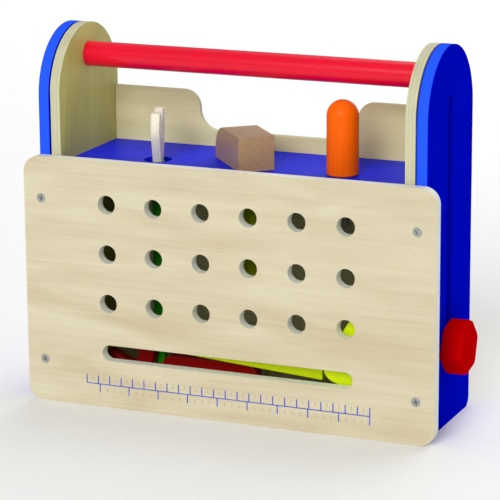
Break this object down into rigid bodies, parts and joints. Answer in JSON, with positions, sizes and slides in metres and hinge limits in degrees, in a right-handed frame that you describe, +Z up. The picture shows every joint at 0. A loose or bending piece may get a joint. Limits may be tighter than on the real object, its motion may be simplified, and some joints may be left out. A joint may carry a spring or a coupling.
{
  "type": "toy workbench",
  "caption": "Wooden toy tool box that turns into a workbench: a drilled and slotted board on two slotted sides, clamped by knobs to an inner box with a handle, shelf and tools.",
  "frame": {"origin": "on the ground, under the middle of the whole object", "axes": "+X along the board to the right as the board is faced, +Y from the board to the back, +Z up"},
  "size_m": [0.3576, 0.114, 0.298],
  "materials": {
    "ply_board": "light lacquered plywood",
    "blue_paint": "glossy blue paint on wood",
    "red_paint": "glossy red paint on wood",
    "pine": "clear lacquer",
    "pale_wood": "bare wood",
    "beech": "oiled",
    "lime_paint": "satin lime paint on wood",
    "green_paint": "satin green paint on wood",
    "orange_paint": "glossy orange paint on wood",
    "steel": "zinc plated",
    "brass": "plain"
  },
  "bodies": {
    "outer_frame": {"front_board": "ply_board", "left_outer_side": "blue_paint", "right_outer_side": "blue_paint", "board_screws": "steel"},
    "tool_box": {"left_inner_side": "pine", "right_inner_side": "pine", "back_panel": "pine", "shelf": "blue_paint", "box_floor": "pine", "handle_dowel": "red_paint", "handle_screws": "steel", "box_screws": "steel", "clamp_bolts": "steel", "gap_washers": "steel", "red_spanner": "red_paint", "saw_blade": "lime_paint", "saw_handle": "lime_paint"},
    "left_clamp": {"left_knob": "red_paint", "left_knob_insert": "brass"},
    "right_clamp": {"right_knob": "red_paint", "right_knob_insert": "brass"},
    "hammer": {"hammer_head": "beech", "hammer_handle": "lime_paint"},
    "orange_driver": {"orange_driver_handle": "orange_paint", "orange_driver_blade": "pine"},
    "green_spanner": {"green_spanner_handle": "green_paint", "green_spanner_jaw": "pale_wood"}
  },
  "joints": [
    {"name": "box_slide", "type": "slide", "parent": "outer_frame", "child": "tool_box", "axis": [0, 0, 1], "range_m": [0, 0.1905]},
    {"name": "left_knob_turn", "type": "hinge", "parent": "tool_box", "child": "left_clamp", "pos_m": [-0.1703, 0.0045, 0.063], "axis": [1, 0, 0], "continuous": true},
    {"name": "right_knob_turn", "type": "hinge", "parent": "tool_box", "child": "right_clamp", "pos_m": [0.1703, 0.0045, 0.063], "axis": [1, 0, 0], "continuous": true},
    {"name": "hammer_lift", "type": "slide", "parent": "tool_box", "child": "hammer", "axis": [0, 0, 1], "range_m": [0, 0.035]},
    {"name": "green_spanner_lift", "type": "slide", "parent": "tool_box", "child": "green_spanner", "axis": [0, 0, 1], "range_m": [0, 0.026]},
    {"name": "orange_driver_turn", "type": "hinge", "parent": "tool_box", "child": "orange_driver", "pos_m": [0.0795, -0.01, 0.1947], "axis": [0, 0, 1], "continuous": true}
  ]
}
